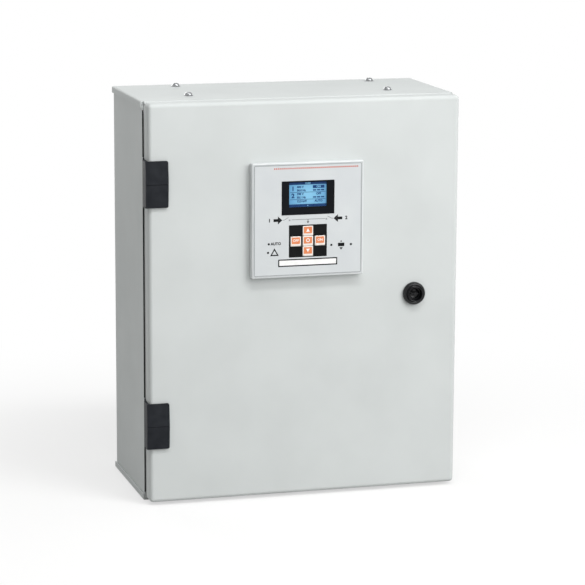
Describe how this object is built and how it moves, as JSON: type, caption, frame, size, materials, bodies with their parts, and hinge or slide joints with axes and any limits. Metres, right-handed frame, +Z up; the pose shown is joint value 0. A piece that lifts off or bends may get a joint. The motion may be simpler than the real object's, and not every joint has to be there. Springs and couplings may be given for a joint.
{
  "type": "automatic transfer switch",
  "caption": "Wall enclosure with a hinged door, panel controller and quarter-turn lock; interlocked contactors inside switch a load between two supplies.",
  "frame": {"origin": "middle of the base, on the surface it stands on", "axes": "+Z up; the door faces -Y and the wall face +Y; +X is to the right seen from the front"},
  "size_m": [0.4058, 0.2103, 0.5082],
  "materials": {
    "grey_paint": "light grey powder coat, fine orange peel",
    "black_plastic": "moulded black, satin",
    "foam": "closed-cell foam, matt",
    "zinc": "zinc plated",
    "steel": "bright plated",
    "pale_plastic": "moulded pale grey, satin",
    "printed_sheet": "printed polyester film, fine texture",
    "window": "gloss black",
    "screen": "backlit blue",
    "orange_rubber": "matt orange",
    "white_plastic": "moulded off-white, satin",
    "grey_plastic": "moulded mid grey, satin",
    "green_plastic": "moulded green, satin",
    "copper": "bare copper",
    "brass": "bare brass"
  },
  "bodies": {
    "enclosure": {"body_wrap": "grey_paint", "roof_cap": "grey_paint", "floor_cap": "grey_paint", "rim_frame": "grey_paint", "hinge_bracket_upper": "black_plastic", "hinge_bracket_lower": "black_plastic", "interlock_unit": "black_plastic", "gland_gasket": "foam", "gland_plate": "zinc", "mounting_plate": "zinc", "din_rail_upper": "zinc", "din_rail_lower": "zinc", "roof_screw_1": "steel", "roof_screw_2": "steel", "roof_screw_3": "steel", "roof_screw_4": "steel", "hinge_pin_upper": "steel", "hinge_pin_lower": "steel", "supply_terminals_1": "pale_plastic", "supply_terminals_2": "pale_plastic", "load_terminals": "pale_plastic", "control_terminals": "pale_plastic", "breaker_1": "white_plastic", "breaker_2": "white_plastic", "contactor_1_base": "grey_plastic", "contactor_2_base": "grey_plastic", "contactor_1_cover": "grey_plastic", "contactor_2_cover": "grey_plastic", "wire_duct_upper": "grey_plastic", "wire_duct_lower": "grey_plastic", "load_bar_1": "copper", "load_bar_2": "copper", "load_bar_3": "copper", "load_bar_4": "copper", "earth_bar": "brass"},
    "door": {"door_panel": "grey_paint", "door_gasket": "foam", "hinge_leaf_upper": "black_plastic", "hinge_leaf_lower": "black_plastic", "lock_housing": "black_plastic", "lock_nut": "zinc", "controller_bezel": "pale_plastic", "controller_overlay": "printed_sheet", "display_window": "window", "display_screen": "screen", "controller_housing": "black_plastic", "controller_plug": "green_plastic", "controller_clamp_left": "black_plastic", "controller_clamp_right": "black_plastic"},
    "lock": {"lock_core": "black_plastic", "lock_cam": "zinc"},
    "key_centre": {"key_centre": "orange_rubber"},
    "key_up": {"key_up": "orange_rubber"},
    "key_down": {"key_down": "orange_rubber"},
    "key_left": {"key_left": "orange_rubber"},
    "key_right": {"key_right": "orange_rubber"},
    "contactor_1_carrier": {"contactor_1_carrier": "white_plastic"},
    "breaker_1_toggle": {"breaker_1_toggle": "black_plastic"},
    "contactor_2_carrier": {"contactor_2_carrier": "white_plastic"},
    "breaker_2_toggle": {"breaker_2_toggle": "black_plastic"}
  },
  "joints": [
    {"name": "door_hinge", "type": "hinge", "parent": "enclosure", "child": "door", "pos_m": [-0.198, -0.0675, 0.254], "axis": [0, 0, -1], "range_deg": [0, 110]},
    {"name": "lock_turn", "type": "hinge", "parent": "door", "child": "lock", "pos_m": [0.1423, -0.095, 0.2545], "axis": [0, -1, 0], "range_deg": [0, 90]},
    {"name": "key_centre_press", "type": "slide", "parent": "door", "child": "key_centre", "axis": [0, 1, 0], "range_m": [0, 0.0008], "stiffness_N_per_m": 1200},
    {"name": "key_up_press", "type": "slide", "parent": "door", "child": "key_up", "axis": [0, 1, 0], "range_m": [0, 0.0008], "stiffness_N_per_m": 1200},
    {"name": "key_down_press", "type": "slide", "parent": "door", "child": "key_down", "axis": [0, 1, 0], "range_m": [0, 0.0008], "stiffness_N_per_m": 1200},
    {"name": "key_left_press", "type": "slide", "parent": "door", "child": "key_left", "axis": [0, 1, 0], "range_m": [0, 0.0008], "stiffness_N_per_m": 1200},
    {"name": "key_right_press", "type": "slide", "parent": "door", "child": "key_right", "axis": [0, 1, 0], "range_m": [0, 0.0008], "stiffness_N_per_m": 1200},
    {"name": "contactor_1_travel", "type": "slide", "parent": "enclosure", "child": "contactor_1_carrier", "axis": [0, 1, 0], "range_m": [0, 0.004], "stiffness_N_per_m": 900},
    {"name": "contactor_2_travel", "type": "slide", "parent": "enclosure", "child": "contactor_2_carrier", "axis": [0, 1, 0], "range_m": [0, 0.004], "stiffness_N_per_m": 900},
    {"name": "breaker_1_switch", "type": "hinge", "parent": "enclosure", "child": "breaker_1_toggle", "pos_m": [-0.055, 0.0242, 0.415], "axis": [1, 0, 0], "range_deg": [0, 70]},
    {"name": "breaker_2_switch", "type": "hinge", "parent": "enclosure", "child": "breaker_2_toggle", "pos_m": [0.055, 0.0242, 0.415], "axis": [1, 0, 0], "range_deg": [0, 70]}
  ]
}
